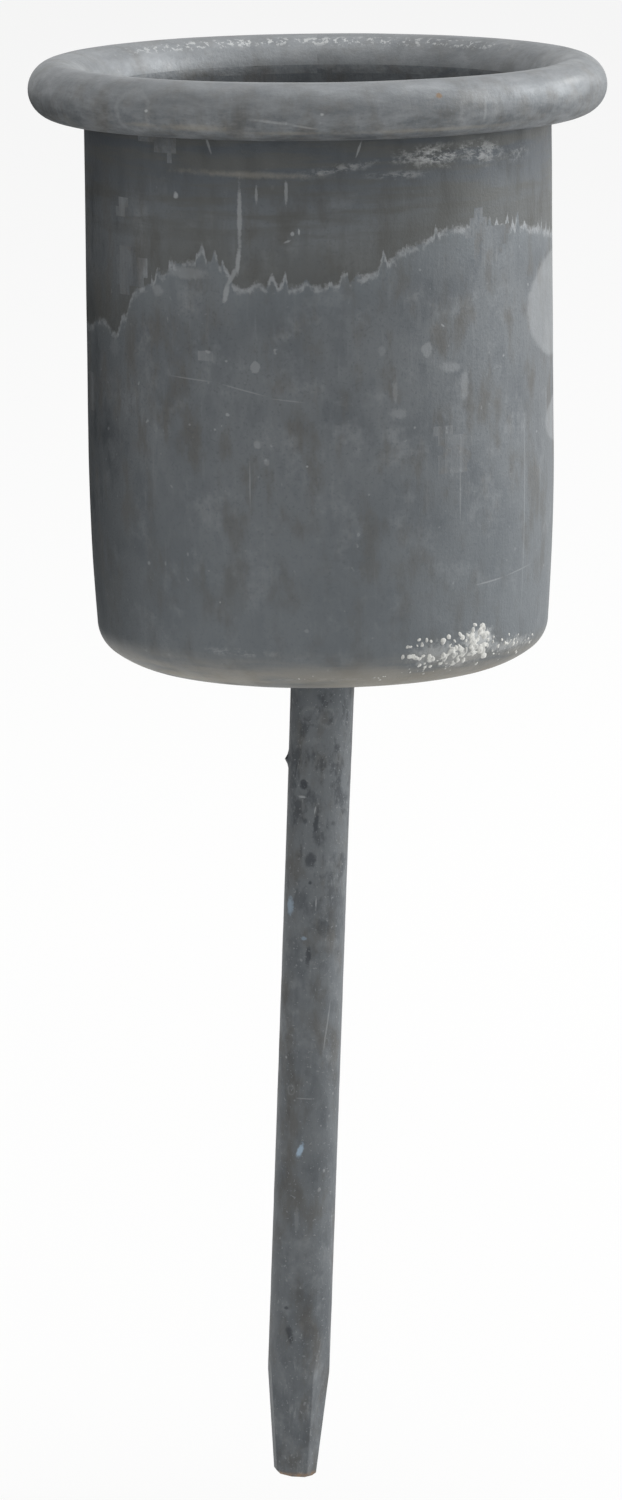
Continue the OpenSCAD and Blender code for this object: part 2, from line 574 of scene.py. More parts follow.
@dataclass(frozen=True)
class SheetFinish(ZincFinish):
    """The cup's coat, with the tide line, drips, smears and stains that years outdoors left on it, and some painted
    shade and light.
    """

    brown: Colour = (86, 87, 85)
    cool: Colour = (108, 114, 118)
    chalk: Colour = (176, 178, 178)
    beige: Colour = (150, 145, 134)
    rust: Colour = (128, 104, 78)
    wall_radius: float = 12.2
    crest_radius: float = 13.65
    roll_radius: float = 1.5
    roll_height: float = 30.5
    # How far over the rim, from its outermost line, the flecks lie at the back of the mouth
    mouth_flecks: float = 3.4
    tide_low: float = 17.0
    tide_high: float = 26.0
    # Height of the tide line all the way round, as degrees from the front and millimetres up
    tide: tuple[Point, ...] = (
        (-180, 20.4), (-155, 20.0), (-125, 19.4), (-95, 18.8), (-80, 18.3), (-66, 18.9), (-61, 18.3), (-56, 19.0),
        (-51, 20.7), (-45, 21.2), (-39, 21.9), (-31, 22.5), (-23, 22.2), (-20, 21.2), (-12, 21.3), (0, 21.3),
        (11, 21.8), (16, 22.3), (20, 23.0), (27, 23.5), (33, 24.0), (41, 23.9), (50, 23.8), (60, 23.6),
        (75, 23.1), (100, 22.4), (130, 21.2), (160, 20.3), (180, 20.4),
    )
    # Where the line runs up into a tooth: degrees round, height above the line and half width in millimetres
    teeth: tuple[tuple[float, float, float], ...] = (
        (-57, 0.5, 0.5), (-43, 0.5, 0.3), (-38, 0.2, 0.5), (-29.5, 0.8, 0.35), (-26, 0.6, 0.3), (-15.2, 0.3, 0.5),
        (-11.4, 0.6, 0.35), (-8.6, 0.3, 0.3), (-3, 0.35, 0.5), (5.7, 0.55, 0.3), (9, 0.2, 0.4), (15.3, 0.5, 0.25),
        (46, 0.5, 0.25), (48.5, 0.4, 0.2), (52.7, 0.6, 0.2), (55, 0.3, 0.2), (57.5, 0.5, 0.2), (60.5, 0.3, 0.2),
    )

    def wall(self, graph: Graph, where: Socket, colour: Socket, rough: Socket, relief: Socket) -> list[Socket]:
        """Lay the outer wall's marks over the coat.

        Args:
            graph: The material.
            where: The place, in millimetres.
            colour: The coat's colour.
            rough: The coat's roughness.
            relief: The coat's relief.

        Returns:
            The colour, roughness and relief with the marks.
        """
        around, turn, height = graph.unrolled(where, self.wall_radius)
        surface = graph.add("CombineXYZ", {0: around, 1: height}).outputs[0]
        wander = graph.math("SUBTRACT", graph.noise(where, 0.38, 4.0, 0.75), 0.5)
        span = self.tide_high - self.tide_low
        knots = [((t + 180) / 360, (h - self.tide_low) / span) for t, h in self.tide]
        share = graph.math("MULTIPLY_ADD", turn, 1 / (2 * math.pi), 0.5)
        tide = graph.math("MULTIPLY_ADD", graph.curve(share, knots), span, self.tide_low)
        shapes = []
        for where_round, tall, half in self.teeth:
            off = graph.math("ABSOLUTE", graph.math("SUBTRACT", around, math.radians(where_round) * self.wall_radius))
            shapes.append(graph.fade(off, half, 0.0, tall))
        tide = graph.math("ADD", tide, graph.most(shapes))
        combed = graph.noise(graph.stretched(surface, (1, 0.06, 1)), 0.4, 2.0, 0.5)
        tide = graph.math("ADD", tide, graph.fade(combed, 0.56, 0.76, 0.55))
        tide = graph.math("MULTIPLY_ADD", wander, 0.5, tide)
        crumbled = graph.math("SUBTRACT", graph.noise(where, 0.2, 3.0, 0.7), 0.5)
        tide = graph.math("MULTIPLY_ADD", crumbled, 0.5, tide)
        gap = graph.math("SUBTRACT", height, tide)
        browned = graph.math("MULTIPLY", graph.fade(gap, -0.03, 0.12), graph.fade(gap, 3.6, 0.1, 0.7))
        washed = graph.math("MULTIPLY", graph.fade(gap, 0.03, -0.1), graph.fade(gap, -2.6, -0.2, 0.45))
        edge = graph.fade(graph.math("ABSOLUTE", graph.math("ADD", gap, 0.08)), 0.32, 0.04, 0.68)
        edge = graph.math("MULTIPLY", edge, graph.fade(graph.noise(where, 0.7, 3.0, 0.6), 0.36, 0.6))
        bands = graph.noise(graph.stretched(where, (0.18, 0.18, 1.6)), 1.2, 3.0, 0.6)
        high = graph.fade(height, 22.0, 25.5)
        streaks = graph.math("MULTIPLY", high, graph.fade(bands, 0.4, 0.64, 0.8))
        # Darker towards the rim: partly soot, partly painted shade that the rolled rim casts on the wall.
        soot_and_rim_shade = graph.fade(height, 23.0, 28.5, 0.9)
        lower = graph.fade(height, 16.0, 2.0, 0.4)
        colour = graph.mix(colour, linear(self.cool), lower)
        colour = graph.mix(colour, linear(self.deep), soot_and_rim_shade)
        colour = graph.mix(colour, linear(self.brown), browned)
        colour = graph.mix(colour, linear(self.brown), streaks)
        colour = graph.mix(colour, linear(self.cool), washed)
        colour = graph.mix(colour, linear(self.pale), edge)
        for marks, tone in self.wall_marks():
            colour = graph.mix(colour, linear(tone), cover(graph, marks, surface, wander, self.wall_radius))
        smear_noise = graph.noise(graph.stretched(where, (0.8, 0.8, 1.5)), 0.55, 5.0, 0.75)
        smear = graph.math(
            "MULTIPLY",
            cover(graph, self.smears(), surface, wander, self.wall_radius),
            graph.fade(smear_noise, 0.44, 0.6),
        )
        colour = graph.mix(colour, linear(self.chalk), smear)
        foot = graph.math("MULTIPLY", graph.fade(height, 2.6, 0.4), graph.fade(bands, 0.25, 0.6, 0.75))
        colour = graph.mix(colour, linear(self.beige), foot)
        relief = graph.math("MULTIPLY_ADD", edge, 0.5, relief)
        relief = graph.math("MULTIPLY_ADD", smear, 0.8, relief)
        return [colour, rough, relief]

    def wall_marks(self) -> list[tuple[list[Mark], Colour]]:
        """The outer wall's drips, spots and scratches, and the pale patches at its right edge that are a painted
        reflection.

        Returns:
            Layers of marks, each with its colour.
        """
        drips = [
            Mark(-19.4, 25.0, 0.16, 2.1, strength=0.6),
            Mark(-19.9, 22.6, 0.17, 0.9, tilt=-6, strength=0.7),
            Mark(-21.6, 21.8, 0.17, 0.9, tilt=-32, strength=0.6),
            Mark(-23.1, 21.0, 0.2, 0.7, tilt=-14, strength=0.7),
            Mark(-15.1, 26.1, 0.1, 0.6, strength=0.5),
            Mark(-7.8, 26.2, 0.12, 0.9, strength=0.55),
            Mark(-27.4, 28.6, 0.09, 0.55, tilt=18, strength=0.5),
            Mark(9.8, 28.4, 0.07, 0.65, tilt=-20, strength=0.6),
        ]
        spots = [
            Mark(-36.8, 25.9, 0.2, 0.22, strength=0.8),
            Mark(-6.4, 24.1, 0.12, 0.14, strength=0.8),
            Mark(-4.8, 24.2, 0.08, 0.22, strength=0.9),
            Mark(-7.6, 23.7, 0.28, 0.08, tilt=20, strength=0.6),
            Mark(-15.9, 17.2, 0.3, 0.36, strength=0.42, ragged=0.9, soft=0.3),
            Mark(26.7, 17.9, 0.36, 0.45, strength=0.38, ragged=0.9, soft=0.35),
            Mark(33.5, 16.9, 0.85, 0.35, strength=0.3),
            Mark(37.4, 15.9, 0.32, 1.0, strength=0.34),
            Mark(18.3, 15.9, 0.2, 0.7, strength=0.3),
            Mark(19.0, 14.7, 0.6, 0.4, strength=0.3),
            Mark(15.1, 18.0, 0.25, 0.35, strength=0.22),
            Mark(-15.6, 13.2, 0.22, 0.3, tilt=30, strength=0.4),
            Mark(-13.2, 12.3, 0.2, 0.24, strength=0.35),
            Mark(-23.0, 14.7, 0.14, 0.11, strength=0.65),
            Mark(-26.5, 13.9, 0.09, 0.09, strength=0.5),
            Mark(-3.4, 12.1, 0.09, 0.08, strength=0.8),
            Mark(31.2, 19.1, 0.16, 0.07, tilt=-35, strength=0.7),
            Mark(-47.9, 6.6, 0.16, 0.14, strength=0.6),
            Mark(-26.1, 4.9, 0.07, 0.07, strength=0.7),
            Mark(-42.9, 20.9, 0.55, 0.35, strength=0.35),
            Mark(-33.5, 21.9, 1.6, 0.4, strength=0.35),
            Mark(-61.0, 17.6, 0.6, 0.7, tilt=20, strength=0.25),
            Mark(-56.0, 21.0, 0.45, 0.06, tilt=8, strength=0.6),
        ]
        scratches = [
            Mark(-33.0, 16.45, 1.6, 0.05, tilt=-4, strength=0.35, ragged=0.1),
            Mark(-19.0, 16.0, 1.6, 0.05, tilt=-13, strength=0.35, ragged=0.1),
            Mark(-8.0, 15.5, 1.1, 0.05, tilt=-6, strength=0.3, ragged=0.1),
            Mark(-17.5, 11.2, 0.05, 1.5, strength=0.4, ragged=0.1),
            Mark(35.9, 10.5, 0.06, 2.0, strength=0.3, ragged=0.2),
            Mark(59.8, 9.0, 0.07, 6.6, strength=0.3, ragged=0.15),
            Mark(46.0, 5.5, 1.3, 0.06, tilt=5, strength=0.45, ragged=0.2),
            Mark(58.0, 5.8, 1.6, 0.05, tilt=7, strength=0.35, ragged=0.2),
        ]
        # Pale patches at the wall's right edge: a painted reflection of the bright side, not wear.
        right_edge_reflection = [
            Mark(83.0, 19.2, 4.8, 2.9, strength=0.45, ragged=0.14, soft=0.12),
            Mark(92.0, 13.1, 4.3, 1.4, strength=0.42, ragged=0.14, soft=0.15),
        ]
        beige = [Mark(-17.0, 27.1, 5.4, 0.26, tilt=-1, strength=0.34, ragged=1.3, soft=1.0)]
        chalk = [
            Mark(30.0, 2.0, 2.0, 0.8, strength=0.5, ragged=2.4, soft=0.8),
            Mark(38.0, 1.7, 2.4, 0.7, strength=0.6, ragged=2.4, soft=0.8),
            Mark(43.0, 2.5, 1.4, 0.8, strength=0.8, ragged=2.2, soft=0.7),
            Mark(56.0, 1.9, 2.8, 0.5, strength=0.55, ragged=2.4, soft=0.8),
        ]
        layers = [drips, spots, scratches, right_edge_reflection]
        return [(layer, self.pale) for layer in layers] + [(beige, self.beige), (chalk, self.chalk)]

    def smears(self) -> list[Mark]:
        """The jagged whitish smears high on the wall, where water ran off the rim."""
        return [
            Mark(29.0, 27.9, 2.9, 0.75, tilt=2, strength=0.75, ragged=1.2, soft=0.9),
            Mark(43.0, 27.9, 2.4, 0.85, tilt=-4, strength=0.5, ragged=1.2, soft=0.9),
            Mark(57.0, 27.6, 1.9, 0.7, strength=0.25, ragged=1.2, soft=0.9),
            Mark(20.0, 27.0, 2.4, 0.3, strength=0.3, ragged=1.2, soft=0.9),
            Mark(5.0, 27.4, 2.8, 0.35, tilt=8, strength=0.35, ragged=1.2, soft=0.9),
            Mark(-22.0, 2.3, 2.8, 0.3, strength=0.3, ragged=1.2, soft=0.9),
            Mark(0.0, 0.8, 4.6, 0.16, strength=0.5, ragged=1.2, soft=0.9),
        ]

    def rim(self, graph: Graph, where: Socket, colour: Socket, rough: Socket, relief: Socket) -> list[Socket]:
        """Lay the rolled rim's marks, and a painted highlight along its top, over the coat.

        Args:
            graph: The material.
            where: The place, in millimetres.
            colour: The coat's colour.
            rough: The coat's roughness.
            relief: The coat's relief.

        Returns:
            The colour, roughness and relief with the marks.
        """
        around, _, height = graph.unrolled(where, self.crest_radius)
        x, y, _ = graph.add("SeparateXYZ", {0: where}).outputs
        flat = graph.add("CombineXYZ", {0: x, 1: y}).outputs[0]
        out = graph.add("VectorMath", {0: flat}, operation="LENGTH").outputs["Value"]
        rise = graph.math("SUBTRACT", height, self.roll_height)
        facing = graph.math("ARCTAN2", rise, graph.math("SUBTRACT", out, self.crest_radius))
        over = graph.math("MULTIPLY", facing, self.roll_radius)
        surface = graph.add("CombineXYZ", {0: around, 1: over}).outputs[0]
        wander = graph.math("SUBTRACT", graph.noise(where, 0.38, 4.0, 0.75), 0.5)
        worn = graph.noise(graph.stretched(surface, (0.35, 1, 1)), 0.9, 5.0, 0.7)
        dirty = graph.noise(where, 1.3, 5.0, 0.7)
        colour = graph.mix(colour, linear(self.warm), graph.fade(dirty, 0.48, 0.68, 0.55))
        colour = graph.mix(colour, linear(self.deep), graph.fade(worn, 0.5, 0.32, 0.4))
        colour = graph.mix(colour, linear(self.pale), graph.fade(worn, 0.4, 0.75, 0.5))
        # Paler towards the top of the roll: a painted highlight where the light from above falls.
        colour = graph.mix(colour, linear(self.pale), graph.fade(over, -1.0, 1.6, 0.4))
        crumbs = graph.fade(graph.noise(where, 0.35, 3.0, 0.75), 0.53, 0.6)
        lip = graph.fade(graph.math("ABSOLUTE", graph.math("SUBTRACT", over, self.mouth_flecks)), 0.5, 0.1, 0.9)
        at_back = graph.fade(y, 6.0, 10.0)
        flecks = graph.math("MULTIPLY", graph.math("MULTIPLY", crumbs, lip), at_back)
        colour = graph.mix(colour, linear(self.chalk), flecks)
        for marks, tone in self.rim_marks():
            colour = graph.mix(colour, linear(tone), cover(graph, marks, surface, wander, self.crest_radius))
        return [colour, rough, relief]

    def rim_marks(self) -> list[tuple[list[Mark], Colour]]:
        """The rim's ring marks, stains, flecks and scratches, placed along it in millimetres up from its outermost line.

        Returns:
            Layers of marks, each with its colour.
        """
        pale = [
            Mark(-38.8, -0.1, 0.95, 1.15, strength=0.14, soft=0.25, ragged=0.6, shape=Shape.RING),
            Mark(-35.3, 0.0, 0.14, 0.12, strength=0.8),
            Mark(-9.0, -0.4, 1.3, 0.12, tilt=-8, strength=0.35, ragged=0.9, soft=0.9),
            Mark(-2.5, -0.7, 0.9, 0.1, tilt=-12, strength=0.35, ragged=0.9, soft=0.9),
            Mark(0.8, 0.0, 0.12, 0.1, strength=0.6),
            Mark(34.5, -0.2, 0.12, 0.9, strength=0.2),
            Mark(33.0, -0.2, 0.95, 1.05, strength=0.12, soft=0.3, ragged=0.6, shape=Shape.RING),
            Mark(33.0, 0.6, 1.2, 0.6, strength=0.16, ragged=1.2, soft=1.0),
            Mark(62.0, 0.9, 2.4, 0.3, strength=0.3, ragged=1.2, soft=1.0),
        ]
        beige = [
            Mark(-25.0, -0.85, 2.7, 0.34, strength=0.45, ragged=1.1, soft=0.9),
            Mark(-37.0, -0.8, 1.4, 0.2, strength=0.35, ragged=1.1, soft=0.9),
            Mark(-6.0, -1.1, 3.0, 0.2, strength=0.3, ragged=1.1, soft=0.9),
            Mark(25.0, -1.1, 6.0, 0.24, strength=0.35, ragged=1.1, soft=0.9),
        ]
        rust = [Mark(24.4, 0.8, 0.22, 0.2, strength=0.75)]
        return [(pale, self.chalk), (beige, self.beige), (rust, self.rust)]

    def inside(self, graph: Graph, where: Socket, colour: Socket, rough: Socket, relief: Socket) -> list[Socket]:
        """Lay the streaks and flecks of the bore, and painted shade deeper down it, over the coat.

        Args:
            graph: The material.
            where: The place, in millimetres.
            colour: The coat's colour.
            rough: The coat's roughness.
            relief: The coat's relief.

        Returns:
            The colour, roughness and relief with the marks.
        """
        height = graph.add("SeparateXYZ", {0: where}).outputs[2]
        runs = graph.noise(graph.stretched(where, (1, 1, 0.08)), 0.7, 3.0, 0.6)
        # Darker towards the bottom of the bore: painted shade inside the cup.
        colour = graph.mix(colour, linear(self.deep), graph.fade(height, 30.0, 14.0, 0.4))
        colour = graph.mix(colour, linear(self.pale), graph.fade(runs, 0.5, 0.85, 0.4))
        return [colour, rough, relief]

    def make(self, skin: Skin) -> bpy.types.Material:
        """Make the material for one part of the cup's surface.

        Args:
            skin: Which part.

        Returns:
            The material.
        """
        graph = Graph(f"zinc_{skin.value}")
        where = graph.millimetres()
        layers = {Skin.WALL: self.wall, Skin.RIM: self.rim, Skin.INSIDE: self.inside}
        colour, rough, relief = layers[skin](graph, where, *self.coat(graph, where))
        sockets = {"Base Color": colour, "Roughness": rough, "Metallic": self.metal}
        return graph.shade(sockets, relief, 0.03 * MM)


@dataclass(frozen=True)
class NailFinish(ZincFinish):
    """The nail's coat: blotched, scratched, pitted, and rusty where its end was cut."""

    black: Colour = (46, 50, 56)
    ice: Colour = (150, 168, 184)
    rust: Colour = (150, 118, 84)
    nail_radius: float = 1.65

    def make(self, lean: float, length: float) -> bpy.types.Material:
        """Make the material.

        Args:
            lean: How far the nail leans, in radians.
            length: How long it is below the cup, in millimetres.

        Returns:
            The material.
        """
        graph = Graph("zinc_nail")
        turned = {"Vector": graph.millimetres(), "Rotation": (0, -lean, 0)}
        where = graph.add("Mapping", turned, vector_type="POINT").outputs[0]
        colour, rough, relief = self.coat(graph, where)
        around, _, height = graph.unrolled(where, self.nail_radius)
        down = graph.math("MULTIPLY", height, -1.0)
        surface = graph.add("CombineXYZ", {0: around, 1: down}).outputs[0]
        wander = graph.math("SUBTRACT", graph.noise(where, 0.25, 4.0, 0.75), 0.5)
        blotches = graph.noise(graph.stretched(where, (1, 1, 0.6)), 0.9, 4.0, 0.65)
        upper = graph.fade(down, 18.0, 5.0)
        dirt = graph.math("MULTIPLY", graph.fade(blotches, 0.46, 0.62, 0.55), graph.fade(upper, -0.6, 1.0))
        colour = graph.mix(colour, linear(self.black), dirt)
        for marks, tone in self.marks():
            colour = graph.mix(colour, linear(tone), cover(graph, marks, surface, wander, self.nail_radius))
        scuffs = graph.noise(graph.stretched(where, (1, 1, 0.35)), 0.3, 4.0, 0.7)
        point = graph.fade(down, length - 10.0, length - 4.0)
        colour = graph.mix(colour, linear(self.pale), graph.math("MULTIPLY", graph.fade(scuffs, 0.55, 0.72, 0.35), point))
        flecks = graph.fade(graph.noise(where, 0.16, 2.0, 0.6), 0.62, 0.7, 0.5)
        colour = graph.mix(colour, linear(self.pale), flecks)
        end = graph.math("MULTIPLY", graph.fade(down, length - 0.35, length - 0.05), graph.fade(scuffs, 0.35, 0.6, 0.8))
        colour = graph.mix(colour, linear(self.rust), end)
        sockets = {"Base Color": colour, "Roughness": rough, "Metallic": self.metal}
        return graph.shade(sockets, relief, 0.03 * MM)

    def marks(self) -> list[tuple[list[Mark], Colour]]:
        """The nail's pits, blotches, flecks and scratches, placed in millimetres down from the cup.

        Returns:
            Layers of marks, each with its colour.
        """
        dark = [
            Mark(-31.0, 6.3, 0.32, 0.36, strength=0.8),
            Mark(-4.0, 8.4, 0.2, 0.8, tilt=6, strength=0.7),
            Mark(-12.0, 10.3, 0.42, 0.5, strength=0.65),
            Mark(-10.6, 11.5, 0.14, 0.16, strength=0.7),
            Mark(18.0, 13.9, 0.6, 0.6, strength=0.45),
            Mark(-10.0, 15.4, 0.2, 0.8, strength=0.65),
            Mark(-49.0, 5.6, 0.07, 0.55, tilt=6, strength=0.6),
            Mark(30.0, 8.3, 0.2, 0.18, strength=0.4),
            Mark(-24.0, 8.2, 0.16, 0.2, strength=0.5),
            Mark(-28.8, 34.5, 0.18, 0.12, strength=0.6),
            Mark(-20.0, 35.9, 0.24, 0.6, tilt=-14, strength=0.6),
        ]
        pale = [
            Mark(-32.0, 6.95, 0.3, 0.09, strength=0.95),
            Mark(-6.1, 7.6, 0.05, 0.3, tilt=10, strength=0.8),
            Mark(1.7, 12.6, 0.06, 0.45, strength=0.6),
            Mark(31.0, 19.3, 0.06, 1.8, tilt=7, strength=0.45, ragged=1.0),
            Mark(-49.3, 21.0, 0.1, 0.1, strength=0.8),
            Mark(-5.0, 23.1, 0.55, 0.04, strength=0.5),
            Mark(-34.3, 22.7, 0.2, 0.24, strength=0.25, soft=0.4, shape=Shape.RING),
            Mark(36.0, 27.0, 0.12, 0.14, strength=0.6),
            Mark(-13.8, 29.6, 0.16, 0.9, strength=0.25),
            Mark(-20.0, 2.6, 0.5, 0.4, strength=0.16, soft=0.4, shape=Shape.RING),
            Mark(12.0, 2.7, 0.4, 0.45, strength=0.16, soft=0.4, shape=Shape.RING),
        ]
        ice = [
            Mark(-52.8, 12.9, 0.36, 0.65, strength=0.6),
            Mark(-11.9, 25.9, 0.2, 0.55, tilt=18, strength=1.0),
            Mark(-18.4, 14.5, 0.2, 0.14, strength=0.5),
        ]
        return [(dark, self.black), (pale, self.pale), (ice, self.ice)]


@dataclass(frozen=True)
class SolderFinish:
    """Dull grey solder with a cloudy, slightly wrinkled skin."""

    bright: Colour = (138, 140, 142)
    dull: Colour = (104, 107, 110)

    def make(self) -> bpy.types.Material:
        """Make the material."""
        graph = Graph("dull_solder")
        where = graph.millimetres()
        clouds = graph.noise(where, 0.9, 4.0, 0.6)
        wrinkles = graph.noise(where, 0.18, 3.0, 0.6)
        colour = graph.mix(linear(self.bright), linear(self.dull), graph.fade(clouds, 0.35, 0.65))
        rough = graph.add("MapRange", {0: clouds, 1: 0.3, 2: 0.7, 3: 0.32, 4: 0.55}).outputs[0]
        return graph.shade({"Base Color": colour, "Roughness": rough, "Metallic": 0.8}, wrinkles, 0.04 * MM)


@dataclass(frozen=True)
class OxideFinish:
    """White zinc oxide, chalky and crumbly."""

    white: Colour = (206, 206, 202)
    grey: Colour = (150, 151, 150)

    def make(self) -> bpy.types.Material:
        """Make the material."""
        graph = Graph("white_oxide")
        where = graph.millimetres()
        clumps = graph.noise(where, 0.3, 4.0, 0.7)
        grit = graph.noise(where, 0.06, 2.0, 0.6)
        colour = graph.mix(linear(self.white), linear(self.grey), graph.fade(clumps, 0.45, 0.7))
        rough = graph.add("MapRange", {0: grit, 1: 0.2, 2: 0.8, 3: 0.8, 4: 0.95}).outputs[0]
        return graph.shade({"Base Color": colour, "Roughness": rough}, grit, 0.02 * MM)


@dataclass
class Cup:
    """The cup: one sheet, drawn to a two-radius corner and rolled outwards into a hollow rim.

    Attributes:
        bore_r: Radius of the socket.
        height: From the underside to the crest of the rim.
        rim_r: Radius of the rim at its widest.
        sheet: Thickness of the sheet.
        roll_r: Outer radius of the roll.
        flare_r: Radius of the mouth.
        draw_in: How far the wall draws in at the corner.
        draw_in_r: Radius of the long curve that draws it in.
        corner_r: Outer radius of the corner, next to the wall.
        blend_r: Outer radius that runs the corner out into the floor.
        hole_r: Radius of the nail's hole.
        roll_gap: Gap between the roll's free edge and the wall.
        steps: How many steps the spin takes.
    """

    bore_r: float
    height: float
    rim_r: float
    sheet: float = 0.5 * MM
    roll_r: float = 1.5 * MM
    flare_r: float = 1.95 * MM
    draw_in: float = 0.35 * MM
    draw_in_r: float = 125 * MM
    corner_r: float = 1.85 * MM
    blend_r: float = 5.3 * MM
    hole_r: float = 1.8 * MM
    roll_gap: float = 0.3 * MM
    steps: int = 256
    finish: SheetFinish = field(default_factory=SheetFinish)

    @property
    def wall_r(self) -> float:
        """Outside radius of the straight wall."""
        return self.bore_r + self.sheet

    @property
    def crest_r(self) -> float:
        """Radius of the roll's middle, under the crest."""
        return self.rim_r - self.roll_r

    def outline(self) -> list[Point]:
        """The sheet's inner skin in half section, from the hole in the floor to the free edge of the roll.

        Returns:
            Points as distance from the axis and height.
        """
        corner_x = self.wall_r - self.draw_in - self.corner_r
        shift = self.blend_r - self.corner_r
        change_over = math.degrees(math.atan2(-0.8, 0.6))
        corner_z = self.blend_r - 0.8 * shift
        blend_x = corner_x - 0.6 * shift
        straight_z = corner_z + math.sqrt(self.draw_in * (2 * self.draw_in_r - self.draw_in))
        long_x = self.wall_r - self.draw_in_r
        past = math.degrees(math.asin((self.crest_r - self.wall_r - self.roll_gap) / self.roll_r))
        foot = math.degrees(math.asin((corner_z - straight_z) / self.draw_in_r))
        stretches = [
            line((self.hole_r, self.sheet), (blend_x, self.sheet), 10),
            arc((blend_x, self.blend_r), self.blend_r - self.sheet, -90, change_over, 9),
            arc((corner_x, corner_z), self.corner_r - self.sheet, change_over, 0, 10),
            arc((long_x, straight_z), self.draw_in_r - self.sheet, foot, 0, 20),
            line((self.bore_r, straight_z), (self.bore_r, self.height - self.flare_r), 36),
            arc((self.crest_r, self.height - self.flare_r), self.flare_r, 180, 90, 14),
            arc((self.crest_r, self.height - self.roll_r), self.roll_r, 90, -90 - past, 34),
        ]
        points = list(stretches[0])
        for stretch in stretches[1:]:
            points.extend(stretch[1:])
        return points

    def build(self) -> bpy.types.Object:
        """Model the cup.

        Returns:
            The finished piece.
        """
        shell = Bench.spin("cup_sheet", self.outline(), self.steps)
        self.face_the_bore(shell)
        Bench.ripple(shell, 5 * MM, 0.03 * MM)
        Bench.finish_with(shell, "SOLIDIFY", thickness=self.sheet, offset=-1.0, use_even_offset=True)
        self.dress(shell)
        Bench.smooth(shell, 40)
        return shell

    def face_the_bore(self, shell: bpy.types.Object) -> None:
        """Turn the sheet's faces towards the bore, so that its thickness is added on the outside."""
        middle = self.height / 2
        wall = next(p for p in shell.data.polygons if abs(p.center.z - middle) < self.sheet)
        if wall.normal.dot(Vector((wall.center.x, wall.center.y, 0))) > 0:
            with Bench.editing(shell):
                bpy.ops.mesh.select_all(action="SELECT")
                bpy.ops.mesh.flip_normals()

    def skin_of(self, face: bpy.types.MeshPolygon) -> Skin:
        """Tell which part of the surface a face belongs to.

        Args:
            face: A face of the finished sheet.

        Returns:
            The part.
        """
        out = math.hypot(face.center.x, face.center.y)
        if out > self.wall_r + 0.02 * MM or face.center.z > self.height - self.flare_r:
            return Skin.RIM
        towards_axis = face.normal.x * face.center.x + face.normal.y * face.center.y < 0
        upwards = face.normal.z > 0.5
        return Skin.INSIDE if towards_axis or upwards else Skin.WALL

    def dress(self, shell: bpy.types.Object) -> None:
        """Give each part of the surface its finish."""
        skins = list(Skin)
        for skin in skins:
            shell.data.materials.append(self.finish.make(skin))
        for face in shell.data.polygons:
            face.material_index = skins.index(self.skin_of(face))


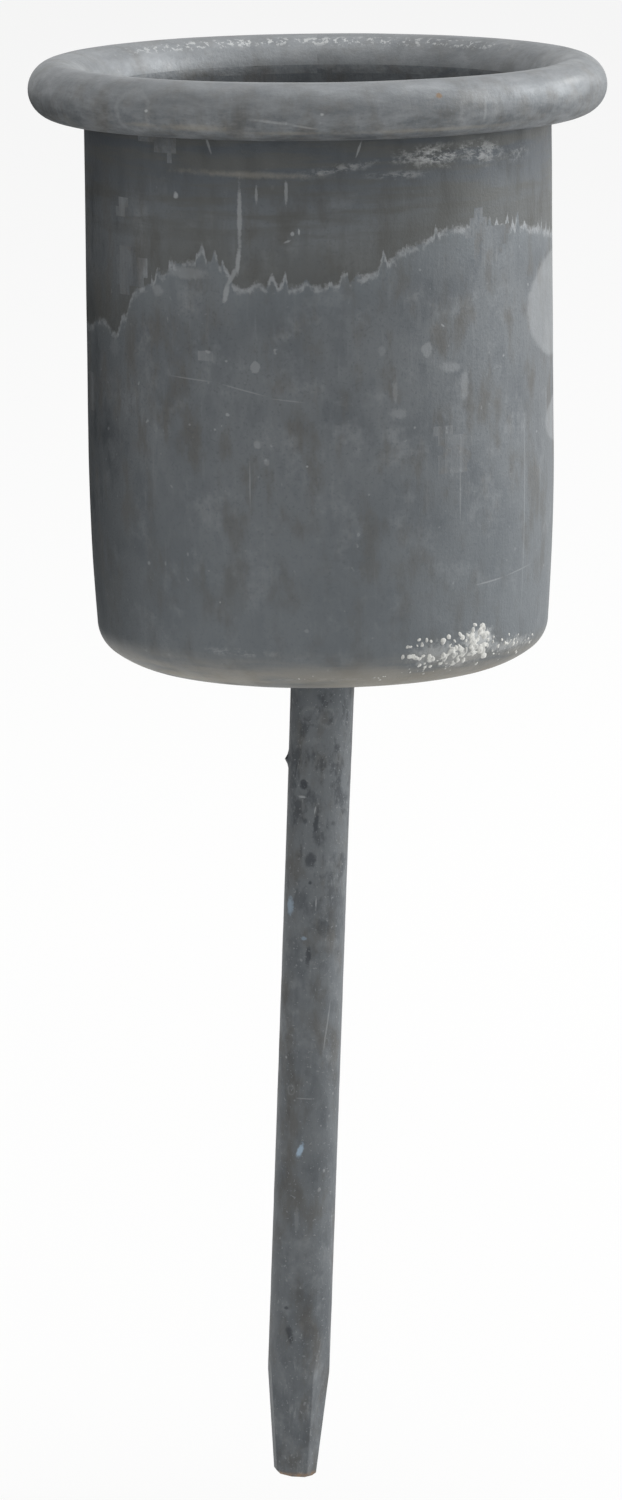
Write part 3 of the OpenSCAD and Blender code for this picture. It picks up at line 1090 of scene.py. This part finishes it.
@dataclass
class Spike:
    """The nail: a flat head on the cup's floor, a drawn shank and a blunt point of eight flats.

    Attributes:
        nail_r: Radius of the shank.
        lean: How far it leans, in radians.
        floor: Height of the cup's floor, on which the head lies.
        length: Length below the cup's underside.
        neck_r: Radius where it leaves the cup.
        neck_l: Length over which the swelling dies away.
        head_r: Radius of the head.
        head_t: Thickness of the head.
        head_bevel: Bevel round the top of the head.
        end_r: Half width of the eight-sided end.
        long_slope: Slope of the four long flats, in degrees.
        short_slope: Slope of the four short flats, in degrees.
        point_turn: Turn of the flats about the nail's axis, in degrees.
        end_slant: Slant of the cut end, in degrees.
        ridge: Width of the worn ridges between the flats.
        end_bevel: Bevel round the cut end.
        sides: How many sides the shank has before it is cut.
        ring_step: How far apart its rings lie.
    """

    nail_r: float
    lean: float
    floor: float = 0.5 * MM
    length: float = 43.8 * MM
    neck_r: float = 1.7 * MM
    neck_l: float = 8.5 * MM
    head_r: float = 3.7 * MM
    head_t: float = 1.2 * MM
    head_bevel: float = 0.3 * MM
    end_r: float = 1.05 * MM
    long_slope: float = 4.1
    short_slope: float = 5.3
    point_turn: float = 56.5
    end_slant: float = 3.6
    ridge: float = 0.04 * MM
    end_bevel: float = 0.18 * MM
    sides: int = 96
    ring_step: float = 0.25 * MM
    finish: NailFinish = field(default_factory=NailFinish)

    def build(self) -> bpy.types.Object:
        """Model the nail upright, cut its point and lean it.

        Returns:
            The finished piece.
        """
        nail = self.draw_shank()
        Bench.ripple(nail, 1.6 * MM, 0.02 * MM)
        self.press_marks(nail)
        self.cut_point(nail)
        self.lean_over(nail)
        head = self.forge_head()
        Bench.hold(nail)
        head.select_set(True)
        bpy.ops.object.join()
        nail.data.materials.clear()
        nail.data.materials.append(self.finish.make(self.lean, self.length / MM))
        Bench.smooth(nail, 18)
        return nail

    def draw_shank(self) -> bpy.types.Object:
        """Draw the shank out of a disc inside the head, ring by ring.

        Returns:
            The shank, closed at both ends.
        """
        top = self.floor + self.head_t / 2
        Bench.clear()
        bpy.ops.mesh.primitive_circle_add(
            vertices=self.sides, radius=self.neck_r, fill_type="NGON", location=(0, 0, top)
        )
        nail = bpy.context.active_object
        nail.name = nail.data.name = "nail"
        Bench.place(nail)
        bottom = -self.length - self.nail_r
        rings = round((top - bottom) / self.ring_step)
        step = (top - bottom) / rings
        with Bench.editing(nail, "FACE"):
            bpy.ops.mesh.select_all(action="SELECT")
            for i in range(rings):
                here, there = top - i * step, top - (i + 1) * step
                bpy.ops.mesh.extrude_region_move(TRANSFORM_OT_translate={"value": (0, 0, -step)})
                narrower = self.radius_at(there) / self.radius_at(here)
                if narrower < 1:
                    bpy.ops.transform.resize(value=(narrower, narrower, 1), center_override=(0, 0, there))
            bpy.ops.mesh.select_all(action="SELECT")
            bpy.ops.mesh.normals_make_consistent(inside=False)
        return nail

    def radius_at(self, height: float) -> float:
        """Radius of the shank at a height, with the swelling at its neck."""
        share = min(max((self.floor - height) / (self.floor + self.neck_l), 0.0), 1.0)
        return self.neck_r + (self.nail_r - self.neck_r) * share

    def on_shank(self, turn: float, down: float) -> tuple[Vector, Vector]:
        """A place on the upright shank and the direction straight out of it.

        Args:
            turn: Degrees round from the front.
            down: Distance down from the cup.

        Returns:
            The place and the outward direction.
        """
        out = Vector((math.sin(math.radians(turn)), -math.cos(math.radians(turn)), 0))
        return out * self.nail_r + Vector((0, 0, -down)), out

    def press_marks(self, nail: bpy.types.Object) -> None:
        """Raise the burr on the nail's left side and sink its pit and dents."""
        # Each mark: degrees round, distance down, how far out or in, and reach
        marks = (
            (-88, 5.1 * MM, 0.2 * MM, 0.4 * MM),
            (-31, 6.3 * MM, -0.1 * MM, 0.55 * MM),
            (-6, 8.5 * MM, -0.05 * MM, 0.6 * MM),
            (-12, 10.3 * MM, -0.05 * MM, 0.6 * MM),
            (-20, 35.9 * MM, -0.06 * MM, 0.5 * MM),
            (40, 20.0 * MM, -0.04 * MM, 1.0 * MM),
        )
        for turn, down, height, reach in marks:
            place, out = self.on_shank(turn, down)
            Bench.push(nail, place, out * height, reach)

    def cut_point(self, nail: bpy.types.Object) -> None:
        """Cut the eight flats and the slanted end, and wear down the ridges between them."""
        normals = []
        with Bench.editing(nail, "EDGE"):
            for side in range(8):
                turn = math.radians(self.point_turn + 45 * side)
                slope = math.radians(self.short_slope if side % 2 else self.long_slope)
                out = Vector((math.cos(turn), math.sin(turn), 0))
                face_to = out * math.cos(slope) - Vector((0, 0, math.sin(slope)))
                self.slice_off(out * self.end_r - Vector((0, 0, self.length)), face_to)
                normals.append(face_to)
            slant = math.radians(self.end_slant)
            down = Vector((-math.sin(slant), 0, -math.cos(slant)))
            self.slice_off(Vector((0, 0, -self.length)), down)
            normals.append(down)
        self.wear_edges(nail, normals)

    @staticmethod
    def slice_off(place: Vector, normal: Vector) -> None:
        """Cut the open mesh with a plane, drop what lies beyond it and close the cut."""
        bpy.ops.mesh.select_all(action="SELECT")
        bpy.ops.mesh.bisect(plane_co=place, plane_no=normal, clear_outer=True, threshold=0.0001 * MM)
        bpy.ops.mesh.edge_face_add()

    def wear_edges(self, nail: bpy.types.Object, cuts: Sequence[Vector]) -> None:
        """Wear down the ridges between the flats, bevel the cut end and keep every other cut edge crisp.

        Args:
            nail: The nail with its cuts.
            cuts: The directions that the cut faces look in, the end's last.
        """
        end = len(cuts) - 1
        wear: tuple[tuple[float, Callable[[int, int], bool]], ...] = (
            (self.ridge, lambda low, high: 0 <= low < high < end),
            (self.end_bevel, lambda low, high: low != end and high == end),
        )
        for offset, test in wear:
            self.pick_edges(nail, cuts, test)
            bpy.ops.object.mode_set(mode="EDIT")
            bpy.ops.mesh.select_mode(type="EDGE")
            bpy.ops.mesh.bevel(offset=offset, segments=1)
            bpy.ops.object.mode_set(mode="OBJECT")
        self.pick_edges(nail, cuts, lambda low, high: low < 0 <= high)
        bpy.ops.object.mode_set(mode="EDIT")
        bpy.ops.mesh.select_mode(type="EDGE")
        bpy.ops.mesh.mark_sharp()
        bpy.ops.object.mode_set(mode="OBJECT")

    def pick_edges(
        self, nail: bpy.types.Object, cuts: Sequence[Vector], test: Callable[[int, int], bool]
    ) -> None:
        """Select edges by which cuts lie on either side of them.

        Args:
            nail: The nail with its cuts.
            cuts: The directions that the cut faces look in.
            test: Takes the lower and the higher number of the two cuts, where -1 is anything uncut.
        """
        sides: dict[tuple[int, int], list[int]] = {}
        for face in nail.data.polygons:
            on_point = face.center.z < -self.length * 0.7
            facing = [i for i, cut in enumerate(cuts) if on_point and face.normal.dot(cut) > 0.99999]
            for key in face.edge_keys:
                sides.setdefault(key, []).append(facing[0] if facing else -1)
        Bench.pick(nail, "edges", lambda edge: test(*sorted(sides[tuple(sorted(edge.vertices))])))

    def lean_over(self, nail: bpy.types.Object) -> None:
        """Lean the finished shank about the point where it leaves the cup."""
        nail.data.transform(Matrix.Rotation(self.lean, 4, "Y"))

    def forge_head(self) -> bpy.types.Object:
        """Make the head: a disc with a bevelled rim and a few flat hammer marks.

        Returns:
            The head as an object of its own, for joining to the shank.
        """
        Bench.clear()
        bpy.ops.mesh.primitive_cylinder_add(
            vertices=self.sides,
            radius=self.head_r,
            depth=self.head_t,
            location=(0, 0, self.floor + self.head_t / 2),
        )
        head = bpy.context.active_object
        Bench.place(head)
        top = self.floor + self.head_t
        Bench.pick(head, "polygons", lambda face: face.normal.z > 0.9)
        bpy.ops.object.mode_set(mode="EDIT")
        bpy.ops.mesh.select_mode(type="FACE")
        bpy.ops.mesh.bevel(offset=self.head_bevel, segments=4, profile=0.5)
        bpy.ops.object.mode_set(mode="OBJECT")
        Bench.pick(head, "polygons", lambda face: face.normal.z > 0.999 and face.center.z > top - 0.01 * MM)
        bpy.ops.object.mode_set(mode="EDIT")
        bpy.ops.mesh.select_mode(type="FACE")
        for _ in range(9):
            bpy.ops.mesh.inset(thickness=self.head_r / 11)
        bpy.ops.mesh.poke()
        bpy.ops.object.mode_set(mode="OBJECT")
        for turn, out, depth in ((20, 0.4, 0.1), (150, 0.5, 0.08), (265, 0.3, 0.12)):
            angle = math.radians(turn)
            place = Vector((math.cos(angle), math.sin(angle), 0)) * self.head_r * out + Vector((0, 0, top))
            Bench.push(head, place, Vector((0, 0, -depth * MM)), 1.4 * MM)
        return head


@dataclass
class SolderRing:
    """The fillet of solder between the nail's head and the cup's floor.

    Attributes:
        head_r: Radius of the head that it lies against.
        floor: Height of the cup's floor.
        wide: Its width on the floor.
        tall: Its height up the head.
        hollow: Its face's radius over its chord.
        steps: How many steps the spin takes.
    """

    head_r: float
    floor: float
    wide: float = 1.4 * MM
    tall: float = 0.7 * MM
    hollow: float = 1.6
    steps: int = 128
    finish: SolderFinish = field(default_factory=SolderFinish)

    def outline(self) -> list[Point]:
        """The fillet in half section, closed on itself.

        Returns:
            Points as distance from the axis and height.
        """
        chord = math.hypot(self.wide, self.tall)
        radius = self.hollow * chord
        reach = math.sqrt(radius**2 - chord**2 / 4)
        centre = (
            self.head_r + self.wide / 2 + reach * self.tall / chord,
            self.floor + self.tall / 2 + reach * self.wide / chord,
        )
        toe = (self.head_r + self.wide, self.floor)
        top = (self.head_r, self.floor + self.tall)
        start = math.degrees(math.atan2(toe[1] - centre[1], toe[0] - centre[0]))
        end = math.degrees(math.atan2(top[1] - centre[1], top[0] - centre[0]))
        end = end - 360 if end > 0 else end
        face = arc(centre, radius, start, end, 10)
        back = line(top, (self.head_r, self.floor), 3)
        base = line((self.head_r, self.floor), toe, 5)
        return face + back[1:] + base[1:]

    def build(self) -> bpy.types.Object:
        """Model the fillet, with the lumps of hand soldering.

        Returns:
            The finished piece.
        """
        ring = Bench.spin("solder_ring", self.outline(), self.steps)
        Bench.ripple(ring, 1.2 * MM, 0.08 * MM)
        ring.data.materials.append(self.finish.make())
        Bench.smooth(ring, 40)
        return ring


@dataclass(frozen=True)
class Trail:
    """One run of oxide grains on the cup's corner.

    Attributes:
        start: Where it starts, in degrees round and millimetres up.
        end: Where it ends.
        grains: How many grains it has.
        spread: How far they scatter, in millimetres.
        size: Half the width of a usual grain, in millimetres.
    """

    start: Point
    end: Point
    grains: int
    spread: float
    size: float


@dataclass
class OxideCrust:
    """White oxide that has grown on the cup's lower corner, in crumbs that run together.

    Attributes:
        cup: The cup that it grows on.
        voxel: How fine the crumbs are fused.
        trails: Where it grows.
    """

    cup: Cup
    voxel: float = 0.035 * MM
    trails: tuple[Trail, ...] = (
        Trail((22, 2.4), (28, 2.8), 9, 0.22, 0.08),
        Trail((22, 2.1), (30, 1.5), 12, 0.2, 0.08),
        Trail((28, 2.7), (37, 2.5), 16, 0.26, 0.1),
        Trail((28, 1.7), (38, 1.8), 20, 0.24, 0.09),
        Trail((24, 1.35), (38, 1.3), 22, 0.14, 0.06),
        Trail((35, 2.2), (45, 2.1), 40, 0.42, 0.12),
        Trail((40, 2.7), (46, 2.6), 26, 0.3, 0.11),
        Trail((41.4, 2.9), (41.6, 3.7), 9, 0.06, 0.05),
        Trail((36.5, 2.7), (37.5, 3.3), 4, 0.06, 0.05),
        Trail((46, 2.2), (58, 1.9), 20, 0.26, 0.07),
        Trail((57, 2.0), (69, 1.7), 14, 0.18, 0.06),
        Trail((48, 1.5), (62, 1.4), 10, 0.2, 0.05),
        Trail((-7, 0.9), (-3.5, 0.9), 5, 0.08, 0.05),
        Trail((14, 0.9), (17.5, 0.9), 6, 0.1, 0.06),
        Trail((18, 1.1), (34, 1.0), 11, 0.16, 0.05),
    )
    finish: OxideFinish = field(default_factory=OxideFinish)
    seed: int = 7

    def on_corner(self, turn: float, height: float) -> tuple[Vector, Vector]:
        """A place on the cup's outer skin near its corner, and the direction straight out of it.

        Args:
            turn: Degrees round from the front.
            height: Height above the underside.

        Returns:
            The place and the outward direction.
        """
        cup = self.cup
        shift = cup.blend_r - cup.corner_r
        corner = (cup.wall_r - cup.draw_in - cup.corner_r, cup.blend_r - 0.8 * shift)
        blend = (corner[0] - 0.6 * shift, cup.blend_r)
        if height > corner[1]:
            out, up = 1.0, 0.0
            radius = corner[0] + cup.corner_r
        else:
            centre, bend = (corner, cup.corner_r)
            if (height - corner[1]) / cup.corner_r < -0.8:
                centre, bend = (blend, cup.blend_r)
            up = (height - centre[1]) / bend
            out = math.sqrt(1 - up * up)
            radius = centre[0] + bend * out
        angle = math.radians(turn)
        flat = Vector((math.sin(angle), -math.cos(angle), 0))
        return flat * radius + Vector((0, 0, height)), flat * out + Vector((0, 0, up))

    def build(self) -> bpy.types.Object:
        """Scatter the grains along the trails and fuse them.

        Returns:
            The finished piece.
        """
        chance = random.Random(self.seed)
        Bench.clear()
        bpy.ops.mesh.primitive_ico_sphere_add(subdivisions=2, radius=1.0, location=(0, 0, 0))
        grain = bpy.context.active_object
        Bench.finish_with(grain, "DISPLACE", texture=self.lumps(), strength=0.5, mid_level=0.5)
        grains = []
        for trail in self.trails:
            for i in range(trail.grains):
                share = i / max(trail.grains - 1, 1)
                turn = trail.start[0] + (trail.end[0] - trail.start[0]) * share
                height = (trail.start[1] + (trail.end[1] - trail.start[1]) * share) * MM
                turn += chance.gauss(0, trail.spread) * MM / self.cup.wall_r * math.degrees(1) * 1.6
                height = max(height + chance.gauss(0, trail.spread) * MM, 0.3 * MM)
                grains.append(self.lay(grain, chance, turn, height, trail.size * MM * chance.uniform(0.5, 1.5)))
        bpy.data.objects.remove(grain)
        Bench.clear()
        for piece in grains:
            piece.select_set(True)
        bpy.context.view_layer.objects.active = grains[0]
        bpy.ops.object.join()
        crust = bpy.context.active_object
        crust.name = crust.data.name = "oxide_crust"
        Bench.place(crust)
        Bench.finish_with(crust, "REMESH", mode="VOXEL", voxel_size=self.voxel)
        crust.data.materials.clear()
        crust.data.materials.append(self.finish.make())
        Bench.smooth(crust, 60)
        return crust

    @staticmethod
    def lumps() -> bpy.types.Texture:
        """The uneven texture that roughens a grain."""
        texture = bpy.data.textures.new("grain_lumps", "CLOUDS")
        texture.noise_scale = 0.9
        return texture

    def lay(
        self, grain: bpy.types.Object, chance: random.Random, turn: float, height: float, size: float
    ) -> bpy.types.Object:
        """Lay one grain on the cup, half sunk and flattened.

        Args:
            grain: The grain to copy.
            chance: Where its turn and shape come from.
            turn: Degrees round from the front.
            height: Height above the underside.
            size: Half its width.

        Returns:
            The copy, with its own mesh.
        """
        place, out = self.on_corner(turn, height)
        copy = grain.copy()
        copy.data = grain.data.copy()
        bpy.context.scene.collection.objects.link(copy)
        upright = out.to_track_quat("Z", "Y").to_matrix().to_4x4()
        roll = Matrix.Rotation(chance.uniform(0, 2 * math.pi), 4, "Z")
        shape = Matrix.Diagonal((size * 1.5, size * chance.uniform(0.8, 1.4), size * 0.6, 1))
        copy.matrix_world = Matrix.Translation(place) @ upright @ roll @ shape
        return copy


@dataclass
class Studio:
    """Plain soft light, a pale floor and a white surround.

    Attributes:
        floor_z: Height of the floor.
        surround: How strongly the surround lights matt surfaces.
    """

    floor_z: float
    surround: float = 0.46
    floor_colour: Colour = (246, 246, 245)

    def build(self) -> None:
        """Make the floor, the surround, the lamps and the black card."""
        self.lay_floor()
        self.surround_with_white()
        self.hang_lamp("side_light", Vector((0.55, 0.1, 0.25)), 0.45, 3.6)
        self.hang_lamp("top_light", Vector((0.12, 0.1, 0.7)), 0.5, 1.6)
        self.stand_card()

    def lay_floor(self) -> None:
        """Lay a wide floor that looks white and keeps a soft shadow."""
        Bench.clear()
        bpy.ops.mesh.primitive_plane_add(size=12.0, location=(0, 0, self.floor_z))
        floor = bpy.context.active_object
        floor.name = "floor"
        graph = Graph("pale_floor")
        paths = graph.add("LightPath").outputs
        seen = graph.most([paths[name] for name in ("Is Camera Ray", "Is Glossy Ray", "Is Transmission Ray")])
        matt = graph.add("BsdfDiffuse", {"Color": linear(self.floor_colour)}).outputs[0]
        glow = graph.add("Emission", {"Color": (1, 1, 1, 1), "Strength": 1.0}).outputs[0]
        share = graph.math("MULTIPLY", seen, 0.82)
        surface = graph.add("MixShader", {0: share, 1: matt, 2: glow}).outputs[0]
        graph.add("OutputMaterial", {"Surface": surface})
        floor.data.materials.append(graph.material)

    def surround_with_white(self) -> None:
        """Show a white surround to the camera and to reflections, at strength 1."""
        world = bpy.data.worlds.new("white_surround")
        bpy.context.scene.world = world
        world.use_nodes = True
        tree = world.node_tree
        tree.nodes.clear()
        paths = tree.nodes.new("ShaderNodeLightPath").outputs
        seen = None
        for name in ("Is Camera Ray", "Is Glossy Ray", "Is Transmission Ray"):
            if seen is None:
                seen = paths[name]
                continue
            step = tree.nodes.new("ShaderNodeMath")
            step.operation = "MAXIMUM"
            tree.links.new(seen, step.inputs[0])
            tree.links.new(paths[name], step.inputs[1])
            seen = step.outputs[0]
        strength = tree.nodes.new("ShaderNodeMapRange")
        tree.links.new(seen, strength.inputs[0])
        strength.inputs[3].default_value = self.surround
        strength.inputs[4].default_value = 1.0
        background = tree.nodes.new("ShaderNodeBackground")
        background.inputs[0].default_value = (1, 1, 1, 1)
        tree.links.new(strength.outputs[0], background.inputs[1])
        output = tree.nodes.new("ShaderNodeOutputWorld")
        tree.links.new(background.outputs[0], output.inputs[0])

    @staticmethod
    def hang_lamp(name: str, place: Vector, size: float, power: float) -> None:
        """Hang a square soft lamp that faces the cup.

        Args:
            name: Its name.
            place: Where it hangs.
            size: How wide it is.
            power: Its power in watts.
        """
        data = bpy.data.lights.new(name, "AREA")
        data.size = size
        data.energy = power
        lamp = bpy.data.objects.new(name, data)
        bpy.context.scene.collection.objects.link(lamp)
        lamp.location = place
        lamp.rotation_euler = (Vector((0, 0, 0.015)) - place).to_track_quat("-Z", "Y").to_euler()

    def stand_card(self) -> None:
        """Stand a black card beside the cup's left, out of the camera's sight, to darken that side."""
        Bench.clear()
        bpy.ops.mesh.primitive_plane_add(size=1.0, location=(-0.027, 0.072, 0.011))
        card = bpy.context.active_object
        card.name = "black_card"
        card.rotation_euler = (0, math.radians(90), 0)
        card.scale = (0.036, 0.15, 1)
        graph = Graph("black_felt")
        matt = graph.add("BsdfDiffuse", {"Color": linear((20, 20, 20))}).outputs[0]
        graph.add("OutputMaterial", {"Surface": matt})
        card.data.materials.append(graph.material)
        card.visible_camera = False


@dataclass
class Viewpoint:
    """Where the photograph was taken from.

    Attributes:
        target_z: Height of the rim's middle line, from which the distance is measured.
        distance: Distance of the camera from the cup's axis there.
        above: Elevation of the camera seen from there, in degrees.
        pitch: How far it looks down, in degrees.
        yaw: How far it looks to the right, in degrees.
        roll: How far it is tilted, in degrees.
        lens: Focal length for a frame whose long side is 36 mm.
    """

    target_z: float
    distance: float = 0.52
    above: float = 5.523
    pitch: float = 9.346
    yaw: float = -0.077
    roll: float = -0.596
    lens: float = 238.53

    def build(self) -> None:
        """Make the camera and look through it."""
        data = bpy.data.cameras.new("camera")
        data.lens = self.lens
        data.sensor_fit = "AUTO"
        data.clip_start = 0.01
        camera = bpy.data.objects.new("camera", data)
        bpy.context.scene.collection.objects.link(camera)
        rise = math.radians(self.above)
        place = Vector((0, -self.distance * math.cos(rise), self.target_z + self.distance * math.sin(rise)))
        look = Matrix.Rotation(math.radians(-self.yaw), 4, "Z")
        look = look @ Matrix.Rotation(math.radians(90 - self.pitch), 4, "X")
        look = look @ Matrix.Rotation(math.radians(self.roll), 4, "Z")
        camera.matrix_world = Matrix.Translation(place) @ look
        bpy.context.scene.camera = camera


def mount(name: str) -> dict[str, Any]:
    """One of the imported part's mounts, by name."""
    return next(m for m in frame["record"]["mounts"] if m["name"] == name)


def keep(piece: bpy.types.Object, slot: Slot, *nodes: str) -> None:
    """Let a piece ride on the one body and stand for its nodes.

    Args:
        piece: The finished piece.
        slot: The record's finish; not used.
        *nodes: The nodes that it stands for, if any.
    """
    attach(piece, BODY)
    if nodes:
        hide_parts(*nodes)
    log.info("%s: %d faces", piece.name, len(piece.data.polygons))


def main() -> None:
    """Build and dress each piece, then the studio and the camera."""
    logging.basicConfig(level=logging.INFO, format="%(message)s")
    bpy.context.scene.view_settings.view_transform = "Standard"
    low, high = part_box("cup")
    pin, socket = mount("spike"), mount("candle_socket")
    cup = Cup(bore_r=socket["dims"]["r_mm"] * MM, height=high.z, rim_r=high.x)
    axis = Vector(pin["axis"])
    spike = Spike(nail_r=pin["dims"]["r_mm"] * MM, lean=math.atan2(-axis.x, -axis.z))
    keep(cup.build(), Slot.SHEET, "cup")
    keep(spike.build(), Slot.NAIL, "spike")
    keep(SolderRing(spike.head_r, spike.floor).build(), Slot.SOLDER, "solder_fillet")
    keep(OxideCrust(cup).build(), Slot.SHEET)
    Studio(floor_z=CAD_BOX[0].z - 2 * MM).build()
    Viewpoint(target_z=high.z - cup.roll_r).build()


if __name__ == "__main__":
    main()
